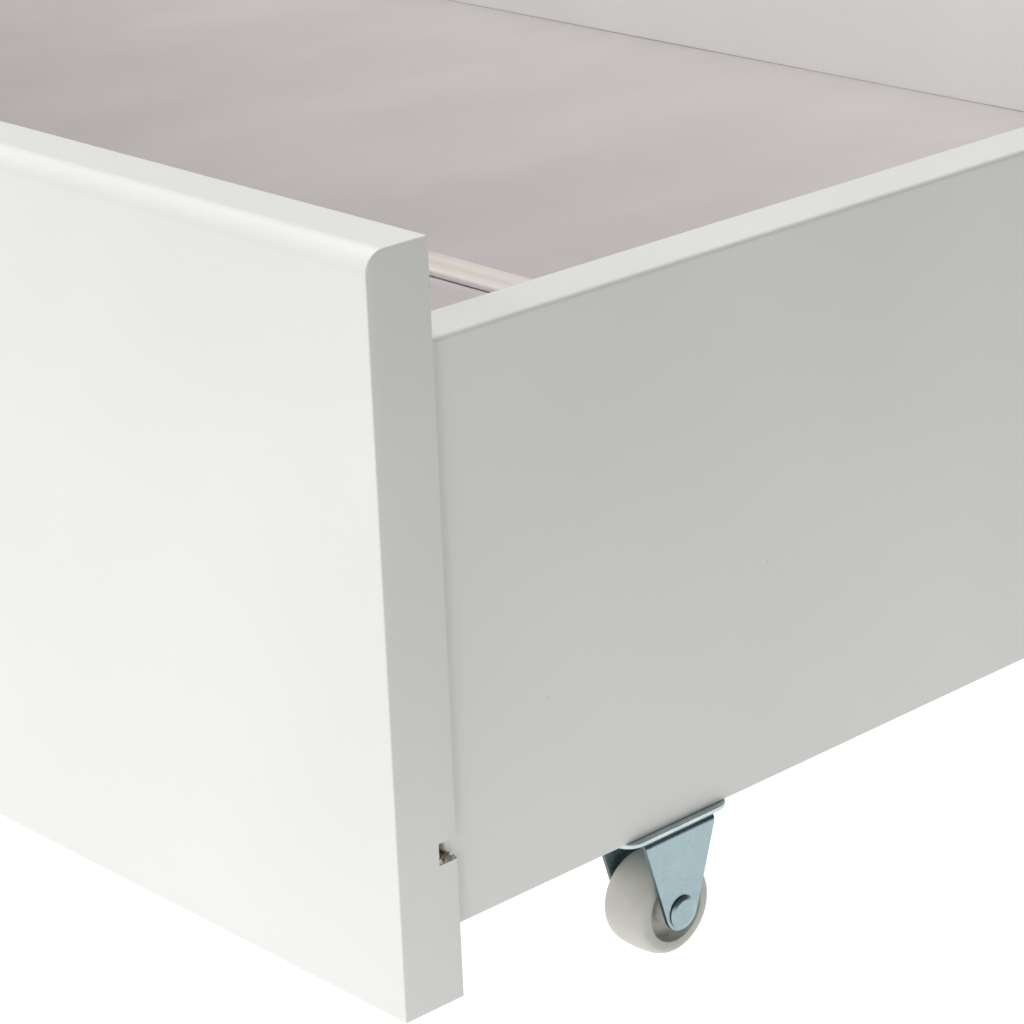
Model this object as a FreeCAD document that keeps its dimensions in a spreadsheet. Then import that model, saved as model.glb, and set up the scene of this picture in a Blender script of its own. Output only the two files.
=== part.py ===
"""Rolling under-bed frame: a shallow painted box on six fixed casters, open at the top.

Frame: X along the front, Y from the front face (-Y) to the back face (+Y), Z up. The origin lies on the
floor, under the middle of the box. All sizes are millimetres and come from the spreadsheet "Sizes".
"""

import FreeCAD, Part
import math
import os

import Sketcher

# alias, millimetres, what it is
SIZES = [
    ("front_length", 1970, "front panel, end to end"),
    ("front_height", 231, "front panel, bottom edge to top edge"),
    ("front_thick", 22.6, "front panel"),
    ("front_gap", 24.5, "floor to the front panel's bottom edge"),
    ("front_round", 6.5, "radius along the front panel's top outer edge"),
    ("edge_round", 1, "radius along the other long edges"),
    ("box_depth", 800, "front face to back face"),
    ("side_thick", 19, "side panels and back panel"),
    ("side_inset", 3.5, "side panel's outer face, in from the front panel's end"),
    ("side_gap", 46.2, "floor to the bottom edge of the sides and back"),
    ("side_height", 178.8, "side panels and back panel"),
    ("side_round", 2.5, "radius along the top outer edges of the sides and back"),
    ("board_gap", 69.5, "floor to the underside of the bottom boards"),
    ("board_thick", 6, "bottom boards"),
    ("groove_high", 7, "grooves that hold the bottom boards"),
    ("groove_deep", 7, "grooves that hold the bottom boards"),
    ("board_reach", 6, "how far a board enters its groove"),
    ("strip_wide", 20, "joint strip between the two boards"),
    ("strip_web", 8, "joint strip's middle, between its grooves"),
    ("strip_rise", 3.5, "joint strip above the boards"),
    ("strip_drop", 4, "joint strip below the boards"),
    ("strip_groove", 6.4, "height of the joint strip's grooves"),
    ("strip_clear", 0.3, "gap between the joint strip and the sides of the bearer's notch"),
    ("board_clear", 0.5, "gap between a board's edge and the joint strip's middle"),
    ("bearer_wide", 40, "bearer under the boards"),
    ("caster_inset", 115.4, "front or back face to a caster's axle"),
    ("plate_long", 46, "caster plate along Y"),
    ("plate_wide", 24, "caster plate along X"),
    ("plate_thick", 1.4, "caster plate"),
    ("plate_round", 6, "caster plate's corner radius"),
    ("fork_wide", 23, "caster fork over both legs"),
    ("fork_thick", 1.3, "caster fork's sheet"),
    ("fork_bend", 2.2, "outer radius where a leg bends down"),
    ("leg_wide", 31.5, "fork leg at its top, along Y"),
    ("leg_straight", 3, "fork leg's straight part, down from the plate's top face"),
    ("leg_foot", 10.2, "fork leg at its lower end, along Y, before rounding"),
    ("leg_tip", 6.2, "axle to a leg's lower end"),
    ("leg_round", 6.6, "radius of both corners at a leg's lower end"),
    ("wheel_radius", 16, "wheel at the crown of its tread"),
    ("wheel_wide", 17.6, "wheel over its rims"),
    ("rim_radius", 14, "wheel at the edge of its tread"),
    ("crown_radius", 20.36, "curve of the tread, across the wheel"),
    ("dish_radius", 10.6, "hollow in each side of the wheel"),
    ("dish_deep", 4.5, "hollow in each side of the wheel"),
    ("dish_draft", 0.6, "how much the hollow's walls lean"),
    ("dish_round", 0.8, "radius at the hollow's edge"),
    ("rim_round", 1.2, "radius at the tread's edge"),
    ("hub_radius", 5.6, "wheel's hub"),
    ("hub_wide", 19.8, "wheel's hub, end to end"),
    ("bore_radius", 3.08, "wheel's bore"),
    ("axle_radius", 3, "axle rivet's shank"),
    ("axle_head", 5.4, "axle rivet's head, radius"),
    ("axle_head_thick", 1.3, "axle rivet's head"),
    ("axle_head_round", 0.78, "radius round the axle rivet's head"),
    ("axle_fit", 0.02, "gap between the axle and the leg's hole"),
    ("screw_radius", 1.5, "screw shanks and their holes in the wood"),
    ("screw_clear", 2.2, "screw holes in steel, radius"),
    ("caster_screw_long", 14, "caster screw in the wood"),
    ("caster_screw_head", 3.2, "caster screw's head, radius"),
    ("screw_head_thick", 2, "screw heads"),
    ("caster_screw_out", 19.4, "caster screw from the axle, along Y"),
    ("cam_from_end", 34, "cam's centre from the end of its side panel"),
    ("cam_radius", 7.5, "cam's hole in the side panel"),
    ("cam_deep", 14, "cam's hole in the side panel"),
    ("cam_low", 105, "floor to the lower cams"),
    ("cam_high", 195, "floor to the upper cams"),
    ("bolt_bore", 4, "hole for a cam bolt in a side panel's end, radius"),
    ("bolt_thread", 3, "cam bolt's thread and its hole, radius"),
    ("bolt_shank", 2.6, "cam bolt's shank, radius"),
    ("bolt_head", 3.3, "cam bolt's head, radius"),
    ("bolt_in_panel", 11, "cam bolt's thread in the front or back panel"),
    ("dowel_radius", 4, "wooden dowels"),
    ("dowel_in_panel", 10, "dowel in the front or back panel"),
    ("dowel_in_side", 20, "dowel in the side panel's end"),
    ("dowel_low", 57, "floor to the lower dowels"),
    ("dowel_high", 150, "floor to the upper dowels"),
    ("angle_leg", 25, "angle bracket's legs"),
    ("angle_thick", 2, "angle bracket's steel"),
    ("angle_high", 16, "angle bracket along Z"),
    ("angle_screw_out", 16, "angle screw from the bracket's corner"),
    ("angle_screw_long", 12, "angle screw in the wood"),
    ("angle_screw_head", 3, "angle screw's head, radius"),
]
# Half the distance between the middles of the two side panels: casters, cams and dowels stand on it.
SIDE_MIDDLE = "(Sizes.front_length / 2 - Sizes.side_inset - Sizes.side_thick / 2)"
SIDE_INNER = "(Sizes.front_length / 2 - Sizes.side_inset - Sizes.side_thick)"
SIDE_LONG = "(Sizes.box_depth - Sizes.front_thick - Sizes.side_thick)"
FRONT_FACE = "(-Sizes.box_depth / 2 + Sizes.front_thick)"
BACK_FACE = "(Sizes.box_depth / 2 - Sizes.side_thick)"
BOX_MIDDLE = "((Sizes.front_thick - Sizes.side_thick) / 2)"
CASTOR_Y = "(Sizes.box_depth / 2 - Sizes.caster_inset)"
AXLE_DROP = "(Sizes.side_gap - Sizes.wheel_radius)"
STRIP_HIGH = "(Sizes.strip_drop + Sizes.board_thick + Sizes.strip_rise)"
BEARER_HIGH = "(Sizes.board_gap - Sizes.side_gap)"

doc = FreeCAD.newDocument("RollingBedFrame")
sheet = doc.addObject("Spreadsheet::Sheet", "Sizes")
parts = []


def fill_sheet():
    """One row for each driving size: its name, its value and what it is."""
    for row, (alias, size, meaning) in enumerate(SIZES, start=1):
        sheet.set(f"A{row}", alias)
        sheet.set(f"B{row}", str(size))
        sheet.set(f"C{row}", meaning)
        sheet.setAlias(f"B{row}", alias)
    doc.recompute()


def value(expression):
    """The number that an expression of the sheet's sizes has now."""
    return float(sheet.evalExpression(str(expression)))


def at(thing, x="0", y="0", z="0"):
    """Places a sub-part by expressions."""
    for axis, expression in zip("xyz", (x, y, z)):
        thing.setExpression(f"Placement.Base.{axis}", str(expression))
    return thing


# ---- sketches and features ---------------------------------------------------------------------------


def new_body(label):
    body = doc.addObject("PartDesign::Body", "Body")
    body.Label = label
    parts.append(body)
    return body


def new_sketch(body, plane, offset="0"):
    """A sketch on one of the body's own origin planes, moved along the plane's normal by offset."""
    sketch = body.newObject("Sketcher::SketchObject", "Sketch")
    support = [f for f in body.Origin.OriginFeatures if f.Role == plane][0]
    sketch.AttachmentSupport = [(support, "")]
    sketch.MapMode = "FlatFace"
    sketch.setExpression("AttachmentOffset.Base.z", str(offset))
    return sketch


def pin_down(sketch, geometry, vertex, x=None, y=None):
    """Fixes a vertex by its distances from the sketch's origin, each an expression."""
    for kind, expression in (("DistanceX", x), ("DistanceY", y)):
        if expression is not None:
            rule = Sketcher.Constraint(kind, -1, 1, geometry, vertex, value(expression))
            sketch.setExpression(f"Constraints[{sketch.addConstraint(rule)}]", str(expression))


def chain(sketch, edges):
    """Adds edges end to end as one closed outline. Arcs run anticlockwise, so they may be back to front."""
    numbers = [sketch.addGeometry(edge) for edge in edges]
    ends = [(edge.StartPoint, edge.EndPoint) for edge in edges]
    for this in range(len(numbers)):
        following = (this + 1) % len(numbers)
        pairs = [(a, b) for a in (0, 1) for b in (0, 1)]
        a, b = min(pairs, key=lambda pair: (ends[this][pair[0]] - ends[following][pair[1]]).Length)
        rule = Sketcher.Constraint("Coincident", numbers[this], a + 1, numbers[following], b + 1)
        sketch.addConstraint(rule)
    return numbers


def outline(sketch, corners):
    """A closed polygon whose corners are pairs of expressions."""
    points = [FreeCAD.Vector(value(x), value(y), 0) for x, y in corners]
    lines = chain(sketch, [Part.LineSegment(a, b) for a, b in zip(points, points[1:] + points[:1])])
    for line, (x, y) in zip(lines, corners):
        pin_down(sketch, line, 1, x, y)


def block(sketch, left, right, low, high):
    """A rectangle from left to right and low to high."""
    outline(sketch, [(left, low), (right, low), (right, high), (left, high)])


def circle(sketch, x, y, radius):
    round_edge = Part.Circle(FreeCAD.Vector(value(x), value(y), 0), FreeCAD.Vector(0, 0, 1), value(radius))
    number = sketch.addGeometry(round_edge)
    pin_down(sketch, number, 3, x, y)
    rule = Sketcher.Constraint("Radius", number, value(radius))
    sketch.setExpression(f"Constraints[{sketch.addConstraint(rule)}]", str(radius))


def extrude(body, kind, sketch, length, symmetric=False, back=False):
    """A Pad or Pocket of the sketch; it has to add or remove material."""
    before = body.Shape.Volume if body.Tip else 0.0
    feature = body.newObject(f"PartDesign::{kind}", kind)
    feature.Profile = sketch
    feature.SideType = "Symmetric" if symmetric else "One side"
    feature.Reversed = back
    feature.setExpression("Length", str(length))
    doc.recompute()
    change = body.Shape.Volume - before
    if (change <= 0) if kind == "Pad" else (change >= 0):
        raise RuntimeError(f"{body.Label}: {feature.Name} changed nothing")
    return feature


def pad(body, sketch, length, **options):
    return extrude(body, "Pad", sketch, length, **options)


def pocket(body, sketch, length, **options):
    return extrude(body, "Pocket", sketch, length, **options)


def revolve(body, sketch, axis="X_Axis"):
    """Turns the sketch once round one of the body's own axes."""
    feature = body.newObject("PartDesign::Revolution", "Revolution")
    feature.Profile = sketch
    feature.ReferenceAxis = ([f for f in body.Origin.OriginFeatures if f.Role == axis][0], [""])
    feature.Angle = 360
    doc.recompute()
    return feature


def round_off(body, radius, chosen):
    """A fillet on the edges of the body's tip for which chosen(middle, box) is true."""
    tip = body.Tip
    names = [
        f"Edge{n}"
        for n, edge in enumerate(tip.Shape.Edges, start=1)
        if chosen(edge.CenterOfMass, edge.BoundBox)
    ]
    if not names:
        raise RuntimeError(f"{body.Label}: no edge to round")
    fillet = body.newObject("PartDesign::Fillet", "Fillet")
    fillet.Base = (tip, names)
    fillet.setExpression("Radius", str(radius))
    doc.recompute()
    return fillet


def near(a, b):
    return abs(a - b) < 0.01


def group(label, members):
    """Identical small pieces, each a solid of its own, kept as one sub-part."""
    together = doc.addObject("Part::Compound", "Compound")
    together.Label = label
    together.Links = members
    parts.append(together)
    return together


# ---- panels ------------------------------------------------------------------------------------------


def panel_section(sketch, sign, thick, high, gap):
    """A panel's cross-section. Its inner face, at 0, has the boards' groove; sign says which way is out."""
    outer, groove_end = f"{sign}{thick}", f"{sign}Sizes.groove_deep"
    groove_low = f"(Sizes.board_gap - {gap})"
    groove_top = f"{groove_low} + Sizes.groove_high"
    outline(
        sketch,
        [
            ("0", "0"),
            (outer, "0"),
            (outer, high),
            ("0", high),
            ("0", groove_top),
            (groove_end, groove_top),
            (groove_end, groove_low),
            ("0", groove_low),
        ],
    )


def end_holes(body, forwards, gap):
    """Holes in the inner face of the front or back panel for cam bolts and dowels, at both ends."""
    for radius, depth, heights in (
        ("Sizes.bolt_thread", "Sizes.bolt_in_panel", ("cam_low", "cam_high")),
        ("Sizes.dowel_radius", "Sizes.dowel_in_panel", ("dowel_low", "dowel_high")),
    ):
        sketch = new_sketch(body, "XZ_Plane")
        for side in ("", "-"):
            for height in heights:
                circle(sketch, f"{side}{SIDE_MIDDLE}", f"Sizes.{height} - {gap}", radius)
        pocket(body, sketch, depth, back=forwards)


def bearer_screw_holes(body, forwards, gap):
    """Pilot holes in the inner face of the front or back panel for the angle brackets' screws."""
    sketch = new_sketch(body, "XZ_Plane")
    for side in ("", "-"):
        across = f"{side}(Sizes.bearer_wide / 2 + Sizes.angle_screw_out)"
        circle(sketch, across, f"Sizes.side_gap + {BEARER_HIGH} / 2 - {gap}", "Sizes.screw_radius")
    pocket(body, sketch, "Sizes.angle_screw_long", back=forwards)


def make_front_panel():
    """The tall outer panel. Its groove runs out at both ends."""
    body = new_body("front_panel")
    sketch = new_sketch(body, "YZ_Plane")
    panel_section(sketch, "-", "Sizes.front_thick", "Sizes.front_height", "Sizes.front_gap")
    pad(body, sketch, "Sizes.front_length", symmetric=True)
    thick, high = value("Sizes.front_thick"), value("Sizes.front_height")
    round_off(body, "Sizes.front_round", lambda c, b: near(c.y, -thick) and near(c.z, high))
    round_off(
        body,
        "Sizes.edge_round",
        lambda c, b: b.XLength > 100 and (near(c.y, 0) and near(c.z, high) or near(c.z, 0)),
    )
    end_holes(body, True, "Sizes.front_gap")
    bearer_screw_holes(body, True, "Sizes.front_gap")
    return at(body, y=FRONT_FACE, z="Sizes.front_gap")


def make_back_panel():
    """Covers the back ends of both side panels."""
    body = new_body("back_panel")
    sketch = new_sketch(body, "YZ_Plane")
    panel_section(sketch, "", "Sizes.side_thick", "Sizes.side_height", "Sizes.side_gap")
    pad(body, sketch, "Sizes.front_length - 2 * Sizes.side_inset", symmetric=True)
    thick, high = value("Sizes.side_thick"), value("Sizes.side_height")
    round_off(body, "Sizes.side_round", lambda c, b: near(c.y, thick) and near(c.z, high))
    end_holes(body, False, "Sizes.side_gap")
    bearer_screw_holes(body, False, "Sizes.side_gap")
    return at(body, y=BACK_FACE, z="Sizes.side_gap")


def make_side_panel(label, sign):
    """One side panel: sign is "" on the right and "-" on the left. Local x is 0 at its inner face."""
    body = new_body(label)
    sketch = new_sketch(body, "XZ_Plane")
    panel_section(sketch, sign, "Sizes.side_thick", "Sizes.side_height", "Sizes.side_gap")
    pad(body, sketch, SIDE_LONG, symmetric=True)
    thick, high = value("Sizes.side_thick"), value("Sizes.side_height")
    round_off(body, "Sizes.side_round", lambda c, b: near(abs(c.x), thick) and near(c.z, high))
    middle = f"{sign}Sizes.side_thick / 2"

    for end in (1, -1):
        for radius, depth, heights in (
            ("Sizes.bolt_bore", "Sizes.cam_from_end", ("cam_low", "cam_high")),
            ("Sizes.dowel_radius", "Sizes.dowel_in_side", ("dowel_low", "dowel_high")),
        ):
            holes = new_sketch(body, "XZ_Plane", f"{end} * {SIDE_LONG} / 2")
            for height in heights:
                circle(holes, middle, f"Sizes.{height} - Sizes.side_gap", radius)
            pocket(body, holes, depth, back=end < 0)

    cams = new_sketch(body, "YZ_Plane")
    for end in ("", "-"):
        for height in ("cam_low", "cam_high"):
            along = f"{end}({SIDE_LONG} / 2 - Sizes.cam_from_end)"
            circle(cams, along, f"Sizes.{height} - Sizes.side_gap", "Sizes.cam_radius")
    pocket(body, cams, "Sizes.cam_deep", back=sign == "")

    screws = new_sketch(body, "XY_Plane")
    for end in (1, -1):
        for out in (1, -1):
            along = f"{end} * {CASTOR_Y} + {out} * Sizes.caster_screw_out - {BOX_MIDDLE}"
            circle(screws, middle, along, "Sizes.screw_radius")
    pocket(body, screws, "Sizes.caster_screw_long", back=True)
    return at(body, x=f"{sign}{SIDE_INNER}", y=BOX_MIDDLE, z="Sizes.side_gap")


def make_bottom_board(label, end):
    """Half of the bottom; end is -1 for the front board and 1 for the rear one."""
    body = new_body(label)
    sketch = new_sketch(body, "XY_Plane")
    half_long = f"({SIDE_INNER} + Sizes.board_reach)"
    at_strip = f"{end} * (Sizes.strip_web / 2 + Sizes.board_clear)"
    at_panel = f"({FRONT_FACE} - Sizes.board_reach)" if end < 0 else f"({BACK_FACE} + Sizes.board_reach)"
    block(sketch, f"-{half_long}", half_long, at_strip, at_panel)
    pad(body, sketch, "Sizes.board_thick")
    return at(body, z="Sizes.board_gap")


def make_joint_strip():
    """H-shaped rail that holds both boards' inner edges; a tongue at each end enters a side's groove."""
    body = new_body("joint_strip")
    sketch = new_sketch(body, "YZ_Plane")
    wide, web = "Sizes.strip_wide / 2", "Sizes.strip_web / 2"
    low, high = "Sizes.strip_drop", "Sizes.strip_drop + Sizes.strip_groove"
    right = [(wide, "0"), (wide, low), (web, low), (web, high), (wide, high), (wide, STRIP_HIGH)]
    left = [(f"-{y}", z) for y, z in reversed(right)]
    outline(sketch, right + left)
    pad(body, sketch, f"2 * {SIDE_INNER}", symmetric=True)
    top = value(STRIP_HIGH)
    round_off(body, "Sizes.edge_round", lambda c, b: b.XLength > 100 and near(c.z, top))
    tongue = new_sketch(body, "YZ_Plane")
    block(tongue, f"-{web}", web, "Sizes.strip_drop", "Sizes.strip_drop + Sizes.board_thick")
    pad(body, tongue, f"2 * ({SIDE_INNER} + Sizes.board_reach)", symmetric=True)
    return at(body, z="Sizes.board_gap - Sizes.strip_drop")


def make_bearer():
    """Runs under the boards from front to back, halfway along, notched for the joint strip."""
    body = new_body("centre_bearer")
    sketch = new_sketch(body, "XY_Plane")
    half = f"{SIDE_LONG} / 2"
    block(sketch, "-Sizes.bearer_wide / 2", "Sizes.bearer_wide / 2", f"-{half}", half)
    pad(body, sketch, BEARER_HIGH)
    notch = new_sketch(body, "YZ_Plane")
    half_notch = "(Sizes.strip_wide / 2 + Sizes.strip_clear)"
    floor = f"{BEARER_HIGH} - Sizes.strip_drop"
    block(notch, f"-{half_notch} - {BOX_MIDDLE}", f"{half_notch} - {BOX_MIDDLE}", floor, BEARER_HIGH)
    pocket(body, notch, "2 * Sizes.bearer_wide", symmetric=True)
    screws = new_sketch(body, "XY_Plane")
    for end in (1, -1):
        for out in (1, -1):
            along = f"{end} * {CASTOR_Y} + {out} * Sizes.caster_screw_out - {BOX_MIDDLE}"
            circle(screws, "0", along, "Sizes.screw_radius")
    pocket(body, screws, "Sizes.caster_screw_long", back=True)
    for side in (1, -1):
        pilots = new_sketch(body, "YZ_Plane", f"{side} * Sizes.bearer_wide / 2")
        for end in ("", "-"):
            along = f"{end}({half} - Sizes.angle_screw_out)"
            circle(pilots, along, f"{BEARER_HIGH} / 2", "Sizes.screw_radius")
        pocket(body, pilots, "Sizes.angle_screw_long", back=side < 0)
    return at(body, y=BOX_MIDDLE, z="Sizes.side_gap")


# ---- casters -----------------------------------------------------------------------------------------


def make_caster_plate(label, x, y):
    """Flat steel plate with round corners and a screw hole beyond each end of the fork."""
    body = new_body(label)
    sketch = new_sketch(body, "XY_Plane")
    wide, long = "Sizes.plate_wide / 2", "Sizes.plate_long / 2"
    block(sketch, f"-{wide}", wide, f"-{long}", long)
    pad(body, sketch, "Sizes.plate_thick", back=True)
    round_off(body, "Sizes.plate_round", lambda c, b: b.ZLength > 1 and b.XLength < 0.1 and b.YLength < 0.1)
    holes = new_sketch(body, "XY_Plane")
    for out in ("", "-"):
        circle(holes, "0", f"{out}Sizes.caster_screw_out", "Sizes.screw_clear")
    pocket(body, holes, "Sizes.plate_thick")
    return at(body, x, y, "Sizes.side_gap")


def leg_outline(sketch):
    """A leg seen from the side: straight at the top, then tapering down to just below the axle."""
    top, shoulder = "Sizes.leg_wide / 2", "-Sizes.leg_straight"
    foot, bottom = "Sizes.leg_foot / 2", f"-{AXLE_DROP} - Sizes.leg_tip"
    right = [(foot, bottom), (top, shoulder), (top, "-Sizes.plate_thick")]
    left = [(f"-{across}", height) for across, height in reversed(right)]
    outline(sketch, right + left)


def make_caster_fork(label, x, y):
    """One sheet bent into two legs under the plate."""
    body = new_body(label)
    section = new_sketch(body, "XZ_Plane")
    outer, inner = "Sizes.fork_wide / 2", "(Sizes.fork_wide / 2 - Sizes.fork_thick)"
    top, under = "-Sizes.plate_thick", "-Sizes.plate_thick - Sizes.fork_thick"
    spare = "Sizes.fork_thick"
    end = f"-{AXLE_DROP} - Sizes.leg_tip - {spare}"
    right = [(inner, under), (inner, end), (outer, end), (outer, top)]
    left = [(f"-{across}", height) for across, height in reversed(right)]
    outline(section, right + left)
    pad(body, section, f"Sizes.leg_wide + 2 * {spare}", symmetric=True)
    high, low = value(top), value(under)
    half = value(outer)
    round_off(body, "Sizes.fork_bend", lambda c, b: near(c.z, high) and near(abs(c.x), half))
    half_inner = value(inner)
    round_off(
        body,
        "Sizes.fork_bend - Sizes.fork_thick",
        lambda c, b: near(c.z, low) and near(abs(c.x), half_inner),
    )
    waste = new_sketch(body, "YZ_Plane")
    beyond = "Sizes.leg_wide"
    block(waste, f"-{beyond}", beyond, f"{end} - {spare}", spare)
    leg_outline(waste)
    pocket(body, waste, "2 * Sizes.fork_wide", symmetric=True)
    foot = value(f"-{AXLE_DROP} - Sizes.leg_tip")
    round_off(body, "Sizes.leg_round", lambda c, b: near(c.z, foot) and b.YLength < 0.1)
    hole = new_sketch(body, "YZ_Plane")
    circle(hole, "0", f"-{AXLE_DROP}", "Sizes.axle_radius + Sizes.axle_fit")
    pocket(body, hole, "2 * Sizes.fork_wide", symmetric=True)
    return at(body, x, y, "Sizes.side_gap")


def make_caster_axle(label, x, y):
    """Steel rivet through both legs, with a round head at each end."""
    body = new_body(label)
    sketch = new_sketch(body, "XZ_Plane")
    leg, end = "Sizes.fork_wide / 2", "(Sizes.fork_wide / 2 + Sizes.axle_head_thick)"
    outline(
        sketch,
        [
            (f"-{end}", "0"),
            (end, "0"),
            (end, "Sizes.axle_head"),
            (leg, "Sizes.axle_head"),
            (leg, "Sizes.axle_radius"),
            (f"-{leg}", "Sizes.axle_radius"),
            (f"-{leg}", "Sizes.axle_head"),
            (f"-{end}", "Sizes.axle_head"),
        ],
    )
    revolve(body, sketch)
    far = value(end)
    round_off(body, "Sizes.axle_head_round", lambda c, b: near(abs(c.x), far) and b.YLength > 1)
    return at(body, x, y, "Sizes.wheel_radius")


def make_caster_wheel(label, x, y):
    """Moulded wheel: crowned tread, a dished side each way and a hub that fills the fork."""
    body = new_body(label)
    sketch = new_sketch(body, "XZ_Plane")
    rim, hub = "Sizes.wheel_wide / 2", "Sizes.hub_wide / 2"
    web = "(Sizes.wheel_wide / 2 - Sizes.dish_deep)"
    right = [
        (hub, "Sizes.bore_radius"),
        (hub, "Sizes.hub_radius"),
        (web, "Sizes.hub_radius + Sizes.dish_draft"),
        (web, "Sizes.dish_radius - Sizes.dish_draft"),
        (rim, "Sizes.dish_radius"),
        (rim, "Sizes.rim_radius"),
    ]
    left = [(f"-{across}", radius) for across, radius in reversed(right)]
    corners = [FreeCAD.Vector(value(a), value(b), 0) for a, b in right + left]
    crown = FreeCAD.Vector(0, value("Sizes.wheel_radius"), 0)
    last = len(right) - 1
    edges = []
    for number, (start, end) in enumerate(zip(corners, corners[1:] + corners[:1])):
        edges.append(Part.Arc(start, crown, end) if number == last else Part.LineSegment(start, end))
    numbers = chain(sketch, edges)
    for number, (a, b) in zip(numbers, right + left):
        if number != numbers[last]:
            pin_down(sketch, number, 1, a, b)
    arc_start = 2 if sketch.Geometry[numbers[last]].StartPoint.x < 0 else 1
    pin_down(sketch, numbers[last], arc_start, *right[last])
    pin_down(sketch, numbers[last], 3, y="Sizes.wheel_radius - Sizes.crown_radius")
    revolve(body, sketch)
    side, edge = value(rim), value("Sizes.rim_radius")
    round_off(body, "Sizes.rim_round", lambda c, b: near(abs(c.x), side) and near(b.YLength, 2 * edge))
    dish = value("Sizes.dish_radius")
    round_off(body, "Sizes.dish_round", lambda c, b: near(abs(c.x), side) and near(b.YLength, 2 * dish))
    return at(body, x, y, "Sizes.wheel_radius")


def caster_places():
    """Name, x and y of each caster: under both side panels and under the bearer, front and rear."""
    for end, y in (("front", f"-{CASTOR_Y}"), ("rear", CASTOR_Y)):
        for place, x in (("right", SIDE_MIDDLE), ("centre", "0"), ("left", f"-{SIDE_MIDDLE}")):
            yield f"{end}_{place}", x, y


def make_casters():
    for place, x, y in caster_places():
        make_caster_plate(f"caster_plate_{place}", x, y)
        make_caster_fork(f"caster_fork_{place}", x, y)
        make_caster_axle(f"caster_axle_{place}", x, y)
        make_caster_wheel(f"caster_wheel_{place}", x, y)


# ---- fasteners ---------------------------------------------------------------------------------------


def turned(points, direction):
    """A solid of revolution about its own Z axis, laid along direction; points are (radius, height)."""
    feature = doc.addObject("Part::Feature", "Turned")
    wire = Part.makePolygon([FreeCAD.Vector(r, 0, z) for r, z in points + points[:1]])
    shape = Part.Face(wire).revolve(FreeCAD.Vector(), FreeCAD.Vector(0, 0, 1), 360)
    feature.Shape = shape
    feature.Placement = FreeCAD.Placement(
        FreeCAD.Vector(), FreeCAD.Rotation(FreeCAD.Vector(0, 0, 1), FreeCAD.Vector(*direction))
    )
    return feature


def screw(shank_long, head_radius, direction):
    """Pan-head screw: its head stands behind the origin, its shank runs along direction."""
    radius, head = value("Sizes.screw_radius"), value("Sizes.screw_head_thick")
    taper, point = 3.0, 0.5
    crest = 0.55
    profile = [
        (0, -head),
        (head_radius * crest, -head),
        (head_radius, -head * crest),
        (head_radius, 0),
        (radius, 0),
        (radius, shank_long - taper),
        (0, shank_long - point),
    ]
    return turned(profile, direction)


def make_caster_screws():
    """Two screws up through each caster plate."""
    long = value("Sizes.caster_screw_long + Sizes.plate_thick")
    head = value("Sizes.caster_screw_head")
    made = []
    for _, x, y in caster_places():
        for out in ("+", "-"):
            along = f"{y} {out} Sizes.caster_screw_out"
            made.append(at(screw(long, head, (0, 0, 1)), x, along, "Sizes.side_gap - Sizes.plate_thick"))
    group("caster_screws", made)


def corner_places():
    """Sign of x, expression for the panel's inner face and direction into the side panel, per corner."""
    for side in ("", "-"):
        yield side, FRONT_FACE, 1
        yield side, BACK_FACE, -1


def make_cam_bolts():
    """Steel bolts: thread in the front or back panel, head inside the cam."""
    thread, shank, head = (value(f"Sizes.bolt_{part}") for part in ("thread", "shank", "head"))
    depth, reach = value("Sizes.bolt_in_panel"), value("Sizes.cam_from_end")
    spare, collar = 0.5, 1.5
    neck, neck_start, neck_end, neck_slope = 1.7, reach - 5, reach - 0.5, 1.0
    tip = reach + collar
    profile = [
        (0, spare - depth),
        (thread, spare - depth),
        (thread, 0),
        (head, 0),
        (head, collar),
        (shank, collar),
        (shank, neck_start),
        (neck, neck_start + neck_slope),
        (neck, neck_end - neck_slope),
        (head, neck_end),
        (head, tip),
        (0, tip),
    ]
    made = []
    for side, face, inwards in corner_places():
        for height in ("cam_low", "cam_high"):
            bolt = turned(profile, (0, inwards, 0))
            made.append(at(bolt, f"{side}{SIDE_MIDDLE}", face, f"Sizes.{height}"))
    group("cam_bolts", made)


def make_cams():
    """Round cams in the side panels' inner faces, open towards their bolt and with a cross slot."""
    radius, deep = value("Sizes.cam_radius") - 0.1, value("Sizes.cam_deep") - 0.5
    room, reach = value("Sizes.bolt_head") + 0.4, 3.0
    slot_long, slot_wide, slot_deep = 9.0, 1.6, 2.5
    middle = value("Sizes.side_thick") / 2
    made = []
    for side, face, inwards in corner_places():
        out = -1 if side == "" else 1
        disc = Part.makeCylinder(radius, deep, FreeCAD.Vector(), FreeCAD.Vector(-out, 0, 0))
        start = FreeCAD.Vector(-out * middle, inwards * reach, 0)
        hollow = Part.makeCylinder(room, radius + reach, start, FreeCAD.Vector(0, -inwards, 0))
        for long, high in ((slot_long, slot_wide), (slot_wide, slot_long)):
            corner = FreeCAD.Vector((-out - 1) * slot_deep / 2, -long / 2, -high / 2)
            disc = disc.cut(Part.makeBox(slot_deep, long, high, corner))
        for height in ("cam_low", "cam_high"):
            cam = doc.addObject("Part::Feature", "Cam")
            cam.Shape = disc.cut(hollow)
            along = f"{face} + {inwards} * Sizes.cam_from_end"
            made.append(at(cam, f"{side}{SIDE_INNER}", along, f"Sizes.{height}"))
    group("cam_discs", made)


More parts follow.
